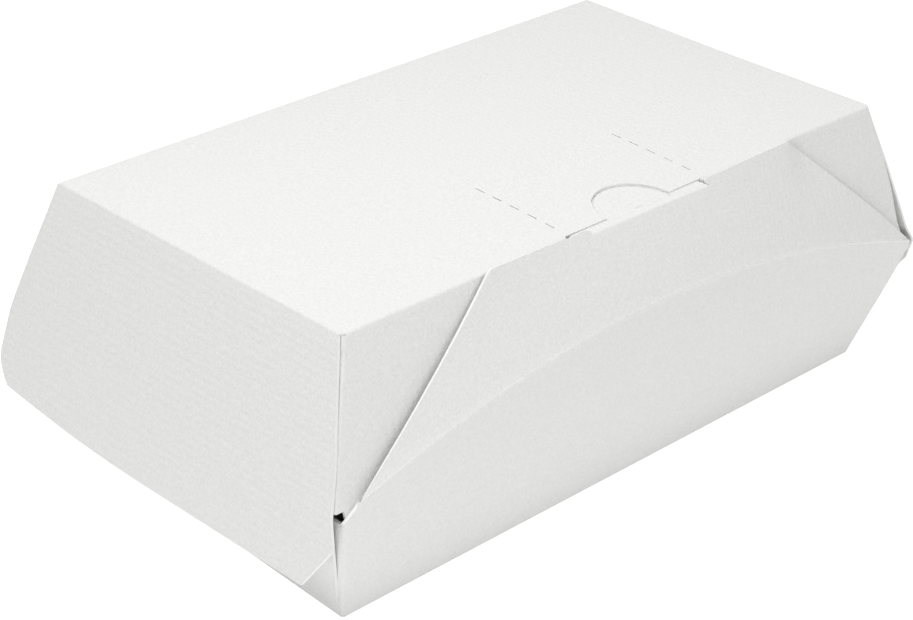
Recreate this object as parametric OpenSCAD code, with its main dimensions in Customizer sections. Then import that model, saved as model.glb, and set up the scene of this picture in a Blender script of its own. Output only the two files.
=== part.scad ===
// Takeaway box: a clamshell carton folded from one blank of fine-fluted white board.
// The base and the lid share the long fold at the back. The front wall of the base runs on
// above a curved crease as a locking flap, whose tongue is tucked under the lid's tear flap.
// +X along the box, -Y the front with the locking flap, +Z up, origin under the middle.

/* [Board] */
// Thickness of the board
board = 0.8; // [0.5:0.1:1.2]
// Outer radius of a straight fold
fold_r = 1.1; // [0.6:0.1:2]
// Gap between layers that are tucked together and not glued
layer_gap = 0.2; // [0.1:0.05:0.4]

/* [Base] */
// Length of the bottom panel
base_len = 205.4; // [170:0.2:240]
// Width of the bottom panel
base_wid = 114; // [100:0.5:124]
// Height of the front corners, where the lid's end flaps are widest
corner_h = 36.6; // [30:0.2:44]
// How far the base's end walls stop below that height
end_wall_low = 1.5; // [0:0.1:3]
// How far the end walls' front edge sits behind the corner at the top
end_wall_back = 2; // [0:0.1:3]
// How far the back of the base's left-hand end is pushed in
base_skew = 4.6; // [0:0.1:6]
// Height of the long hinge fold at the back
hinge_h = 43.5; // [36:0.5:50]
// Distance of the hinge fold from the middle of the box
hinge_reach = 65.9; // [58:0.1:75]
// How far the front wall's side folds sit inside the end walls at the top
corner_inset = 1.7; // [0.5:0.1:4]
// How far the right-hand end of the box is pressed out at the corners of the base
end_flare = 3.9; // [0:0.1:5]
// Length of the glue tabs inside the corners
glue_tab = 14; // [8:1:25]

/* [Lid] */
// Length of the lid's top
top_len = 205; // [170:0.2:230]
// Width of the lid's top
top_wid = 110.5; // [96:0.5:124]
// Height of the lid's top above the table
box_h = 80.2; // [66:0.2:100]
// Length of the box where the lid's end flaps pass the corners of the base
waist_len = 228; // [210:0.2:250]
// Width of the box across the front corners of the base
waist_wid = 132.2; // [120:0.1:150]
// Length of the lid's end flaps, down the slant
flap_drop = 63.5; // [50:0.5:70]
// Length of the cut on the flaps' front corner, down the slant
flap_cut_drop = 12.6; // [4:0.2:18]
// Width of the cut on the flaps' front corner
flap_cut_wid = 7.3; // [3:0.1:12]
// How far the flaps' front corner stands out past the lid's front edge
flap_front_out = 12; // [9:0.1:13]
// How much less the right-hand flap's pressed-in front corner stands out
flap_front_less = 2; // [0:0.1:4]
// How far the flaps' front edge starts behind the lid's front edge at the top
flap_edge_in = 1.2; // [0:0.1:2]
// How far the flaps' lower edge rises towards the back
flap_rise = 3.4; // [0:0.1:8]
// How far the flaps' back edge stands out past the hinge fold
flap_heel_out = 1.2; // [0:0.1:2]
// Length of the rounded stretch at the flaps' back corner
flap_heel_len = 4; // [2:0.5:8]
// Height of the rounded stretch at the flaps' back corner
flap_heel_up = 6.5; // [3:0.5:10]
// Inward lean of the right-hand flap below the base's corners, where it is pressed in
flap_tuck = 20; // [0:1:20]
// Height of the bend in the right-hand flap above the base's corners
flap_bend_up = 4.4; // [2:0.2:10]
// Length of the lid's front panel at its ends, down the slant
lid_front_drop = 42.7; // [25:0.1:43]
// Rise of the arched lower edge of the lid's front panel
lid_front_arch = 7.5; // [0:0.5:12]
// Length of the level stretches beside that arch
lid_front_flat = 9; // [0:0.5:15]

/* [Locking flap] */
// Height of the curved crease in the middle
crease_top = 57.4; // [50:0.2:62]
// Radius of the curved crease
crease_r = 338; // [280:1:420]
// Distance of the crease from the middle of the box
crease_reach = 66.5; // [64:0.1:70]
// How far the crease's left end sits in from the corner of the base
crease_in = 6.5; // [1:0.1:8]
// Forward bow of the flap at its side edges
flap_bow = 0.5; // [0:0.1:3]
// Outward bow of the flap's right-hand edge
edge_bow = 0.6; // [0:0.1:2]
// Length of the flap's top edge
lock_len = 115.6; // [90:0.2:150]
// How far the flap's top edge sits to the right of the middle
lock_shift = 5.6; // [0:0.1:8]
// How far the flap's top edge stands in front of the lid's top
lock_stand = 1.2; // [0.8:0.1:4]
// Height of the flap's shoulders above the lid
shoulder_up = 1.6; // [0.5:0.1:4]
// Width of the tongue's neck
neck_wid = 46.5; // [30:0.5:52]
// Offset of the neck to the right of the middle
neck_shift = 4; // [0:0.1:8]
// Width of the tongue under the lid
tongue_wid = 60; // [54:0.5:80]
// Depth of the tongue behind the lid's front edge
tongue_deep = 19; // [15:0.5:30]
// Length of the cut corners at the tongue's end
tongue_round = 8; // [4:0.5:12]

/* [Tear flap] */
// Width of the tear flap, which is the width of the slot
tear_wid = 54.2; // [50:0.2:70]
// Depth of the tear flap from the slot to its score
tear_deep = 33.6; // [28:0.1:50]
// Offset of the tear flap to the right of the middle
tear_shift = 3.6; // [0:0.1:6]
// Distance of the slot behind the lid's front edge
slot_back = 0.6; // [0.3:0.1:2]
// Width of the thumb notch
notch_wid = 24.5; // [16:0.5:30]
// Depth of the thumb notch
notch_deep = 12.3; // [12.3:0.1:17]
// Number of slits in each perforated side
slits = 5; // [2:1:5]
// Distance from one slit to the next
slit_pitch = 6.35; // [5.2:0.05:7]
// Length of a slit
slit_len = 3.2; // [1:0.1:5]
// Width of a slit
slit_wid = 0.5; // [0.3:0.05:0.8]
// Distance from the slot to the first slit
slit_first = 4.9; // [3:0.1:10]
// Gap along the torn line and the score
tear_gap = 0.12; // [0.08:0.01:0.3]

/* [Hidden] */
white = [0.94, 0.94, 0.93];
columns = 32;
bow_steps = 5;
arch_steps = 24;
// Overlap that fuses glued layers
glue_bite = 0.3;

// Board thickness measured level, through a wall that leans by an angle
function level_board(lean) = board / cos(lean);

// Leans from the vertical
lid_end_lean = atan((waist_len - top_len) / 2 / (box_h - corner_h));
base_end_top = waist_len / 2 - level_board(lid_end_lean) - layer_gap;
base_end_lean = atan((base_end_top - base_len / 2) / corner_h);
base_front_lean = atan((waist_wid - base_wid) / 2 / corner_h);
lid_front_reach = waist_wid / 2 - level_board(base_front_lean) - layer_gap;
lid_front_lean = atan((lid_front_reach - top_wid / 2) / (box_h - corner_h));
base_back_lean = atan((hinge_reach - base_wid / 2) / hinge_h);
lid_back_lean = atan((hinge_reach - top_wid / 2) / (box_h - hinge_h));

// Share of the right-hand end's flare that the lid's end flap has at a height
flap_bend = corner_h + flap_bend_up;
bend_share = 0.6;
function flare_share(z) = z > flap_bend
    ? bend_share * (box_h - z) / (box_h - flap_bend)
    : bend_share + (1 - bend_share) * (flap_bend - z) / flap_bend_up;

// Half lengths and half widths of the outer faces at a height; side is 1 at the right-hand end
function base_end_x(z, side) =
    base_len / 2 + z * tan(base_end_lean) + max(side, 0) * end_flare * z / corner_h;
function lid_end_x(z, side) =
    top_len / 2 + (box_h - z) * tan(lid_end_lean) + max(side, 0) * end_flare * flare_share(z);
function lid_front_y(z) = top_wid / 2 + (box_h - z) * tan(lid_front_lean);
function lid_back_y(z) = top_wid / 2 + (box_h - z) * tan(lid_back_lean);
function base_front_y(z) = base_wid / 2 + z * tan(base_front_lean);
function base_back_y(z) = base_wid / 2 + z * tan(base_back_lean);

// Inner faces of the end walls and end flaps
function base_end_in(z, side) = base_end_x(z, side) - level_board(base_end_lean);
function lid_end_in(z, side) = lid_end_x(z, side) - level_board(lid_end_lean);

// Points of a fold: an arc of radius r that touches both legs at corner b
function fold(a, b, c, r) =
    let (
        u = (a - b) / norm(a - b),
        v = (c - b) / norm(c - b),
        half = acos(u * v) / 2,
        reach = r / tan(half),
        mid = b + (u + v) / norm(u + v) * r / sin(half),
        p = b + u * reach - mid,
        turn = 180 - 2 * half
    )
    [for (i = [0:bow_steps])
        let (t = turn * i / bow_steps)
        mid + [p.x * cos(t) - p.y * sin(t), p.x * sin(t) + p.y * cos(t)]];

// A line of the strip, folded at its inner points; runs anticlockwise
function folded(line, r) = [
    line[0],
    for (i = [1:len(line) - 2]) each fold(line[i - 1], line[i], line[i + 1], r),
    line[len(line) - 1]
];

// The same line moved a board's thickness to the inside
function inside(line) = [
    for (i = [0:len(line) - 1])
        let (
            a = line[max(i - 1, 0)],
            b = line[i],
            c = line[min(i + 1, len(line) - 1)],
            d1 = i == 0 ? c - b : b - a,
            d2 = i == len(line) - 1 ? b - a : c - b,
            n1 = [-d1.y, d1.x] / norm(d1),
            n2 = [-d2.y, d2.x] / norm(d2)
        )
        b + (n1 + n2) * board / (1 + n1 * n2)
];

// Section of a folded strip of board
module strip_section(line) {
    outer = folded(line, fold_r);
    inner = folded(inside(line), max(fold_r - board, 0.1));
    polygon(concat(outer, [for (i = [len(inner) - 1:-1:0]) inner[i]]));
}

// A section drawn in Y and Z, run along X
module along_x(length) {
    rotate([90, 0, 90])
        linear_extrude(height = length, center = true)
            children();
}

// A section drawn in X and Z, run along Y
module along_y(length) {
    rotate([90, 0, 0])
        linear_extrude(height = length, center = true)
            children();
}

// A plate of board between an outer face of four corners and the same face moved by a step
module plate(a, b, c, d, step) {
    ring = cross(b - a, d - a) * step > 0 ? [a, b, c, d] : [a, d, c, b];
    polyhedron(
        points = concat(ring, [for (p = ring) p + step]),
        faces = [
            [0, 1, 2], [0, 2, 3],
            [6, 5, 4], [7, 6, 4],
            [0, 4, 5], [0, 5, 1],
            [1, 5, 6], [1, 6, 2],
            [2, 6, 7], [2, 7, 3],
            [3, 7, 4], [3, 4, 0]
        ]
    );
}

// Bottom, back, lid back, lid top and lid front: one strip of the blank
long_strip = [
    [-base_wid / 2 + board / 2, 0],
    [base_wid / 2, 0],
    [hinge_reach, hinge_h],
    [top_wid / 2, box_h],
    [-top_wid / 2, box_h],
    [-top_wid / 2 - lid_front_drop * sin(lid_front_lean), box_h - lid_front_drop * cos(lid_front_lean)]
];

// Where that strip ends inside the right-hand end wall and end flap, and its mirror image
strip_end = [
    [base_end_in(0, -1), -1],
    [base_end_in(corner_h, -1), corner_h],
    [lid_end_in(hinge_h, -1) - layer_gap, hinge_h],
    [lid_end_in(box_h, -1) - layer_gap, box_h + 1]
];
strip_other_end = [for (i = [len(strip_end) - 1:-1:0]) [-strip_end[i].x, strip_end[i].y]];

// Space under the arched lower edge of the lid's front panel
module front_arch() {
    half = lid_end_in(corner_h, -1) - lid_front_flat;
    low = box_h - lid_front_drop * cos(lid_front_lean);
    arch_r = (pow(half, 2) + pow(lid_front_arch, 2)) / (2 * lid_front_arch);
    translate([0, -base_wid / 2, 0])
        along_y(base_wid / 2)
            polygon(concat(
                [[-half, corner_h / 2], [half, corner_h / 2]],
                [for (i = [arch_steps:-1:0])
                    let (x = half * (2 * i / arch_steps - 1))
                    [x, low + lid_front_arch - arch_r + sqrt(pow(arch_r, 2) - pow(x, 2))]]
            ));
}

// Turn about the front left-hand corner of the base, for its pushed-in end
module askew() {
    translate([-base_len / 2, -base_wid / 2, 0])
        rotate([0, 0, -atan(base_skew / base_wid)])
            translate([base_len / 2, base_wid / 2, 0])
                children();
}

// Space beyond the base's left-hand end wall, up to the hinge fold
module beyond_left_end() {
    far = -waist_len;
    askew()
        along_y(3 * base_wid)
            polygon([
                [far, -1],
                [-base_end_in(0, -1), -1],
                [-base_end_in(corner_h, -1), corner_h],
                [layer_gap - lid_end_in(hinge_h, -1) - base_skew, hinge_h],
                [far, hinge_h]
            ]);
}

module long_panels() {
    difference() {
        intersection() {
            along_x(waist_len) strip_section(long_strip);
            along_y(3 * base_wid)
                polygon(concat(strip_end, strip_other_end));
        }
        front_arch();
        beyond_left_end();
    }
}

// Base end walls with a stretch of the bottom between them
end_wall_h = corner_h - end_wall_low;
bottom_bite = 10;
module base_ends() {
    intersection() {
        union() {
            askew()
                along_y(3 * base_wid)
                    strip_section([
                        [-base_end_x(corner_h, -1), corner_h],
                        [-base_end_x(0, -1), 0],
                        [bottom_bite, 0]
                    ]);
            along_y(3 * base_wid)
                strip_section([
                    [-bottom_bite, 0],
                    [base_end_x(0, 1), 0],
                    [base_end_x(corner_h, 1), corner_h]
                ]);
        }
        along_x(2 * waist_len)
            polygon([
                [board / 2 - base_front_y(0), 0],
                [base_back_y(0), 0],
                [base_back_y(end_wall_h), end_wall_h],
                [end_wall_back - base_front_y(end_wall_h), end_wall_h]
            ]);
    }
}

// Heights on the lid's end flaps, from the distance down the slant
function flap_z(drop) = box_h - drop * cos(lid_end_lean);

// Outline of the lid's end flaps, front to back: front edge that starts behind the lid's
// front edge, cut lower corner, lower edge that rises to a rounded back corner
function flap_outline(less) =
    let (
        cut_z = flap_z(flap_drop - flap_cut_drop),
        corner_y = less - top_wid / 2 - flap_front_out,
        waist_z = max(corner_h, cut_z + board),
        waist_y = -top_wid / 2 - flap_front_out * (box_h - waist_z) / (box_h - cut_z)
    )
    [
        [flap_edge_in - top_wid / 2, box_h],
        [waist_y, waist_z],
        [corner_y, cut_z],
        [corner_y + flap_cut_wid, flap_z(flap_drop)],
        for (i = [0:bow_steps])
            let (f = i / bow_steps)
            [f * (hinge_reach - flap_heel_len), flap_z(flap_drop) + flap_rise * pow(f, 2)],
        [hinge_reach + flap_heel_out, flap_z(flap_drop) + flap_rise + flap_heel_up],
        [hinge_reach, hinge_h],
        [top_wid / 2, box_h]
    ];

// The lid's end flaps with a stretch of its top between them
module lid_ends() {
    tuck_len = flap_drop - (box_h - corner_h) / cos(lid_end_lean);
    intersection() {
        along_y(3 * base_wid)
            strip_section([
                [lid_end_x(corner_h, 1) - tuck_len * sin(flap_tuck), corner_h - tuck_len * cos(flap_tuck)],
                [lid_end_x(corner_h, 1), corner_h],
                [lid_end_x(flap_bend, 1), flap_bend],
                [top_len / 2, box_h],
                [-top_len / 2, box_h],
                [-lid_end_x(flap_z(flap_drop), -1), flap_z(flap_drop)]
            ]);
        union() {
            translate([-waist_len / 2, 0, 0]) along_x(waist_len) polygon(flap_outline(0));
            translate([waist_len / 2, 0, 0]) along_x(waist_len) polygon(flap_outline(flap_front_less));
        }
    }
}

// Curved crease: a circular arc
function crease_z(x) = crease_top - crease_r + sqrt(pow(crease_r, 2) - pow(x, 2));

// A point along the box for s from -1 at the left to 1 at the right
function along(left, right, s) = (left + right) / 2 + s * (right - left) / 2;

// Front corners of the base, where the front wall's side folds end
front_left = -base_end_in(corner_h, -1) + corner_inset;
front_right = base_end_in(corner_h, 1) - corner_inset;

// Lines across the front wall and the locking flap above it
lock_y = -top_wid / 2 - lock_stand;
shoulder_z = box_h + shoulder_up;
function front_low(s) =
    [along(-base_end_in(0, -1) - glue_bite, base_end_in(0, 1) + glue_bite, s), -base_wid / 2, 0];
function front_crease(s) =
    let (x = along(front_left + crease_in, front_right - board, s))
    [x, -crease_reach, crease_z(x)];
function front_corner(s) =
    let (
        z = corner_h - board,
        out = (crease_reach - base_wid / 2) * z / front_crease(s).z
    )
    [along(front_left, front_right, s), -base_wid / 2 - out, z];
function front_top(s) = [lock_shift + s * lock_len / 2, lock_y, shoulder_z];
function front_flap(s, t) =
    let (
        bow = 4 * t * (1 - t),
        bowed = [edge_bow * (1 + s) / 2, -flap_bow * (1 + pow(s, 2)) / 2, 0]
    )
    front_crease(s) * (1 - t) + front_top(s) * t + bowed * bow;

// Front wall and locking flap: bowed panels ruled between those lines
module front_wall() {
    step = [0, level_board(base_front_lean), 0];
    rows = [
        for (i = [0:columns])
            let (
                s = 2 * i / columns - 1,
                flap = [for (k = [0:bow_steps]) front_flap(s, k / bow_steps)],
                face = [front_low(s), front_corner(s), each flap]
            )
            each concat(face, [for (k = [len(face) - 1:-1:0]) face[k] + step])
    ];
    ring = 2 * (bow_steps + 3);
    last = columns * ring;
    polyhedron(
        points = rows,
        faces = [
            for (i = [0:columns - 1], k = [0:ring - 1])
                let (
                    a = i * ring + k,
                    b = i * ring + (k + 1) % ring
                )
                each [[a, b, a + ring], [b, b + ring, a + ring]],
            for (k = [0:ring / 2 - 2])
                let (back = ring - 1 - k)
                each [
                    [k, back, k + 1], [k + 1, back, back - 1],
                    [last + k, last + k + 1, last + back], [last + k + 1, last + back - 1, last + back]
                ]
        ]
    );
}

// Upper face of the tongue, a gap below the lid's top panel
tongue_z = box_h - board - layer_gap;

// Tongue: neck over the lid's front edge, then wings and a rounded end under the lid
module tongue() {
    share = (tongue_z - front_crease(0).z) / (shoulder_z - front_crease(0).z);
    front = front_flap(0, share).y + level_board(base_front_lean) / 2;
    wing = 2 * fold_r - top_wid / 2;
    back = tongue_deep - top_wid / 2;
    half_neck = neck_wid / 2;
    half_end = tongue_wid / 2;
    translate([0, 0, tongue_z - board])
        linear_extrude(height = board)
            polygon([
                [neck_shift - half_neck, front],
                [neck_shift + half_neck, front],
                [neck_shift + half_neck, wing],
                [tear_shift + half_end, wing + 2 * fold_r],
                [tear_shift + half_end, back - tongue_round],
                [tear_shift + half_end - tongue_round, back],
                [tear_shift - half_end + tongue_round, back],
                [tear_shift - half_end, back - tongue_round],
                [tear_shift - half_end, wing + 2 * fold_r],
                [neck_shift - half_neck, wing]
            ]);
}

// Space that the cut shoulders leave above the neck
module neck_space() {
    translate([neck_shift - neck_wid / 2, lock_y - 2 * fold_r, tongue_z])
        cube([neck_wid, 4 * fold_r, shoulder_up + board + 2 * layer_gap]);
}

// Outline of the tear flap, with a gap taken off or added round it
tear_front = -top_wid / 2 + slot_back;
tear_back = tear_front + tear_deep;
module tear_outline(grow) {
    notch_r = notch_wid / 2;
    difference() {
        translate([tear_shift - tear_wid / 2 - grow, tear_front])
            square([tear_wid + 2 * grow, tear_deep + grow]);
        translate([tear_shift, tear_front]) {
            translate([0, notch_deep - notch_r]) circle(r = notch_r, $fn = 96);
            translate([-notch_r, -1]) square([notch_wid, 1 + notch_deep - notch_r]);
        }
    }
}

// Opening that the tear flap closes: the flap's own rectangle, the slits and the slot
module tear_opening() {
    half = tear_wid / 2 + tear_gap;
    through = 3 * board;
    slot_run = 3 * fold_r + slot_back + tear_gap;
    translate([tear_shift - half, tear_front, box_h - 2 * board])
        cube([2 * half, tear_deep + tear_gap, through]);
    for (side = [-1, 1], i = [0:slits - 1]) {
        slit_y = tear_front + slit_first + i * slit_pitch + slit_len / 2;
        translate([tear_shift + side * tear_wid / 2, slit_y, box_h])
            cube([slit_wid + 2 * tear_gap, slit_len, through], center = true);
    }
    translate([tear_shift - half, tear_front + tear_gap - slot_run, tongue_z - board - layer_gap])
        cube([2 * half, slot_run, box_h]);
}

// Glue tabs of the base: folded from the front and back walls, glued inside the end walls
module base_tabs() {
    low = board;
    high = end_wall_h - board;
    front_in = level_board(base_front_lean) / 2;
    back_in = 0.9 * level_board(base_back_lean);
    for (side = [-1, 1]) {
        x_low = base_end_in(low, side) + glue_bite;
        x_high = base_end_in(high, side) + glue_bite;
        tab_step = [-side * board, 0, 0];
        inset_low = glue_bite + corner_inset * low / corner_h;
        inset_high = glue_bite + corner_inset * high / corner_h;
        front_tab = [
            [side * (x_low - inset_low), front_in - base_front_y(low), low],
            [side * (x_high - inset_high), front_in - base_front_y(high), high],
            [side * x_high, glue_tab - base_front_y(high), high],
            [side * x_low, glue_tab - base_front_y(low), low]
        ];
        back_tab = [
            [side * x_low, base_back_y(low) - back_in, low],
            [side * x_high, base_back_y(high) - back_in, high],
            [side * x_high, base_back_y(high) - glue_tab, high],
            [side * x_low, base_back_y(low) - glue_tab, low]
        ];
        for (tab = [front_tab, back_tab]) {
            if (side < 0) {
                askew() plate(tab[0], tab[1], tab[2], tab[3], tab_step);
            } else {
                plate(tab[0], tab[1], tab[2], tab[3], tab_step);
            }
        }
    }
}

// Glue tabs of the lid: folded from its front and back panels, glued inside the end flaps
module lid_tabs() {
    high = box_h - 2 * board;
    low = hinge_h + 2 * board;
    panel = level_board(lid_front_lean) / 2;
    for (side = [-1, 1], face = [-1, 1]) {
        y_high = face < 0 ? -lid_front_y(high) : lid_back_y(high);
        y_low = face < 0 ? -lid_front_y(low) : lid_back_y(low);
        plate(
            [side * (lid_end_in(high, -1) + glue_bite), y_high - face * panel, high],
            [side * (lid_end_in(low, -1) - layer_gap), y_low - face * panel, low],
            [side * (lid_end_in(low, side) + glue_bite), y_low - face * glue_tab, low],
            [side * (lid_end_in(high, side) + glue_bite), y_high - face * glue_tab, high],
            [-side * board, 0, 0]
        );
    }
}

// Carton: the whole folded blank apart from the tear flap
module carton() {
    color(white) {
        difference() {
            union() {
                long_panels();
                lid_ends();
            }
            tear_opening();
        }
        base_ends();
        base_tabs();
        lid_tabs();
        difference() {
            front_wall();
            neck_space();
        }
        tongue();
    }
}

// Tear flap: lifts about its score at the back, perforated along both sides
module tear_flap() {
    color(white)
        translate([0, 0, box_h - board])
            linear_extrude(height = board)
                tear_outline(-tear_gap / 2);
}

carton();
tear_flap();
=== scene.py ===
from math import acos, atan, ceil, cos, pi, radians, sin, sqrt, tan

import bmesh
import bpy
from mathutils import Matrix, Vector


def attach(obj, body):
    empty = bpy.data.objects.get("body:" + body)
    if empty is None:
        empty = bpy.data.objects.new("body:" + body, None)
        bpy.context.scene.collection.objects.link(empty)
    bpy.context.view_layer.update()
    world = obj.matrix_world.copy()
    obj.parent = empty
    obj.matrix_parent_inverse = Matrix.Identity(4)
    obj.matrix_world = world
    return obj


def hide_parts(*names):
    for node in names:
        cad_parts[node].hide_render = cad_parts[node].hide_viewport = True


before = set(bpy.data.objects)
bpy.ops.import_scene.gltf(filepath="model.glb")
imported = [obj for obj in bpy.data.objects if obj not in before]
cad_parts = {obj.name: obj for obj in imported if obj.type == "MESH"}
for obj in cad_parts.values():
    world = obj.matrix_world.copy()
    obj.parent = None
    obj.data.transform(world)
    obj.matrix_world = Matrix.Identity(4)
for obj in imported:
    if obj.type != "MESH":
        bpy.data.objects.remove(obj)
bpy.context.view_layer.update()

# Takeaway box: a clamshell carton folded from one blank of fine-fluted white board.
# Sizes are in millimetres and angles in degrees until a piece is finished, then metres.
# Left and right are -X and +X, front and back are -Y and +Y.
MM = 0.001

# Board, the outer radii of its folds, and the gaps between its layers
board = 0.8
fold_radius = 0.9
tab_fold_radius = 0.7
base_fold_radius = 1.6  # front-left fold of the base
base_fold_foot = 1  # the same fold where it meets the bottom
base_fold_rise = 24  # height over which it opens
neck_fold = 0.6  # reach of the neck's bend
neck_bend_radius = 0.5
fold_steps = 6
fold_clear = 0.02  # stations closer than this to a fold's start are left out
layer_gap = 0.2
seam_gap = 0.35  # between the lid's front and its end flaps

# Base
base_len = 205.4
base_wid = 114
corner_h = 36.6  # height of the front corners, where the box is widest
end_wall_low = 1.5  # how far the end walls stop below that height
end_wall_back = 2.55  # how far the left end wall's front edge sits back at its top
end_wall_back_low = 1.7  # the same at its foot
right_wall_out = 0.8  # how far the front of the right end wall swells outwards
right_wall_rise = 20  # height over which it does
hinge_h = 43.5
hinge_reach = 65.9
corner_inset = 1.9  # from the left end wall's inner face to the front wall's side fold
right_inset = 0.5  # the same at the right
corner_cut = 1  # how far the side folds stop below the corners
end_flare = 3.9  # how far the right end is pressed out at the corners
base_skew = 5.4  # how far the back of the left end is pushed in
glue_tab = 14
tab_clear = 1.2  # how far the tabs stay clear of the folds they run towards
tab_clear_hinge = 0.3
front_tab_in = 1.2  # from the end walls' inner face to the front wall's glue tabs
wall_ease = 1.6  # height over which the end walls' side edges leave the bottom's corners
bottom_ease = 0.9  # the same for the front and back walls

# Lid
top_len = 205
top_wid = 110.5
box_h = 80.2
top_crown = 1.35  # bulge of the top
top_lift = 0.45  # how far the top's back edge stands above its front edge
waist_len = 228
waist_wid = 132.2
flap_drop = 63.5  # length of the end flaps, down the slant
flap_cut_drop = 12.6  # cut corner of the end flaps, down the slant
flap_cut_wid = 7.9  # and across
flap_front_out = 12  # how far the flaps' widest place stands past the top's front fold
flap_front_less = 2  # how much less it does at the right
flap_waist_less = 1.2  # how much less the left flap stands out at the corner's height
seam_knee = 50  # height where the flaps' front edge leaves the lid's front
flap_edge_in = 1.2  # how far that edge starts behind the front fold
flap_rise = 3.4  # how far the lower edge rises towards the back
flap_heel_out = 1.2  # rounded back corner of the flaps
flap_heel_len = 4
flap_heel_up = 6.5
flap_tuck = 20  # inward lean of the right flap's pressed-in lower edge
flap_bend_up = 4.4  # height of its bend above the corners
flap_bend_radius = 5
flap_waist_radius = 4
bend_share = 0.6  # share of the flare that is reached at that bend
flap_spacing = 5
corner_ease = 0.35  # height over which the front and back walls leave the top's corners
flap_ease = 0.4  # the same for the end flaps
seam_open = 2  # height over which the seam opens
lid_front_drop = 42.7  # length of the lid's front at its ends, down the slant
lid_front_arch = 7.5  # rise of its arched lower edge
lid_front_flat = 9  # length of that edge's flat ends
lid_front_ear = 2.6  # how far the ends hang below that
ear_start = (3.2, 0.8)  # distance from the end where an ear starts, and over what length
ear_fade = 4
lid_front_end = 30  # height that no part of the lid's front reaches down to

# The ends of the lid stand a little to the right: how far, and from where over what length
left_in = 0.3
end_zone = (88, 14)
left_zone = (60, 15)
top_zone = (72, 8)
front_zone = (0, 50)

# The top's front fold is pressed back from the locking flap to the right-hand corner
fold_dent = 1.3
corner_dent = 0.5
dent_start = (64, 4)
dent_fade = (66, 36)
dent_front = (46, 8)
dent_height = (60, 15)

# Locking flap
crease_top = 57.4
crease_radius = 338
crease_reach = 66.5
crease_in = 4.2  # how far the crease's left end sits inside the front wall's side fold
crease_bead = 0.16  # pressed ridge along the crease
crease_bead_wid = 0.9
crease_share = 0.08  # share of the wall above its side folds that the ridge may take up
left_bow = 0.3  # forward bow of the flap at its two sides
right_bow = 0.5
left_edge_bow = 1.4  # sideways bow of its cut edges
right_edge_bow = 0.6
cheek_out = 3.2  # how far the front wall's left edge swells out below the crease
cheek_start = 0.965
lock_len = 117
lock_shift = 4.9
lock_stand = 1.2
shoulder_up = 1.15
shoulder_low = 0.7
shoulder_round = 1
shoulder_foot = 0.98  # share of its height that a shoulder loses beside the neck
shoulder_dip = 0.45
dip_middle = -24.2
dip_reach = 2.6

# Neck and tongue
neck_left = -17.4
neck_right = 29.2
neck_left_h = 79
neck_right_h = 78.45
neck_left_round = 4.6
neck_right_round = 1
neck_foot = 4  # length of flap that sets the neck's first direction
neck_reach = 2.6  # from the neck's crease to the slot
neck_gap = 0.08  # from the neck's end to the tear flap
neck_low = 0.38  # from the top down to the neck's end
slot_left = -24.7
slot_right = 28.3
slot_neck_left = -22.9
slot_neck_right = 27.2
tongue_wid = 60
tongue_deep = 19
tongue_round = 8
tongue_crown = 0.95  # share of the top's bulge that the tongue follows

# Tear flap
tear_wid = 53.5
tear_deep = 33.6
tear_shift = 3.3
slot_back = 0.6
notch_wid = 24.5
notch_deep = 12.3
slits = 5
slit_pitch = 6.35
slit_len = 3.2
slit_wid = 0.34
slit_first = 4.9
opening_zone = 9  # height below the top that the cuts stay in
slit_zone = 0.5

# Bare board in the notch
pad_gap = 0.25
pad_low = 0.36
pad_far_low = 0.6
pad_front = 1
pad_up = 0.04
pad_skirt = 0.1
pad_rings = [0, 0.2, 0.4, 0.6, 0.8, 0.93, 1, 1.004]

# Leans of the panels from the vertical, in radians
lid_end_lean = atan((waist_len - top_len) / 2 / (box_h - corner_h))


def level_board(lean):
    """Board thickness measured level, through a wall that leans by an angle"""
    return board / cos(lean)


base_end_top = waist_len / 2 - level_board(lid_end_lean) - layer_gap
base_end_lean = atan((base_end_top - base_len / 2) / corner_h)
base_front_lean = atan((waist_wid - base_wid) / 2 / corner_h)
lid_front_reach = waist_wid / 2 - level_board(base_front_lean) - layer_gap
lid_front_lean = atan((lid_front_reach - top_wid / 2) / (box_h - corner_h))
base_back_lean = atan((hinge_reach - base_wid / 2) / hinge_h)
flap_bend = corner_h + flap_bend_up
end_wall_h = corner_h - end_wall_low
tear_front = -top_wid / 2 + slot_back
tear_back = tear_front + tear_deep
tear_left = tear_shift - tear_wid / 2
tear_right = tear_shift + tear_wid / 2
tongue_z = box_h - board - layer_gap
slot_low = tongue_z - board - layer_gap

# How far the lid front's right-hand edge stays inside the end flap, and how far the right-hand
# end stands out, each with its height
front_narrow = [(0, box_h), (0, 74), (0.15, 61.5), (0.6, 53), (1.9, 44.4), (3, 30)]
right_out = [(1.2, 83), (1.1, 78), (0.9, 62), (0.3, 46), (0, 40), (0, 36), (0.3, 28), (0.3, 12),
             (0, 2), (0, -1)]


def mix(a, b, share):
    """Point or number between two others"""
    return a * (1 - share) + b * share


def ramp(value, start, length):
    """Share from 0 at a start to 1 after a length, and level outside them"""
    return min(1, max(0, (value - start) / length))


def even(count, whole=1):
    """Evenly spaced numbers from 0 to a whole"""
    return [k * whole / count for k in range(count + 1)]


def edge_at(z, corners):
    """Reach of an outline at a height, between its corners from the top down"""
    for (y1, z1), (y2, z2) in zip(corners, corners[1:]):
        if z >= z2:
            return mix(y1, y2, (z1 - z) / (z1 - z2))
    return corners[-1][0]


def flare_share(z):
    """Share of the right-hand end's flare that the lid's end flap has at a height"""
    if z > flap_bend:
        return bend_share * (box_h - z) / (box_h - flap_bend)
    return bend_share + (1 - bend_share) * (flap_bend - z) / flap_bend_up


def base_end_x(z, side):
    """Reach of the base's end wall, outer face"""
    return base_len / 2 + z * tan(base_end_lean) + max(side, 0) * end_flare * z / corner_h


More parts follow.
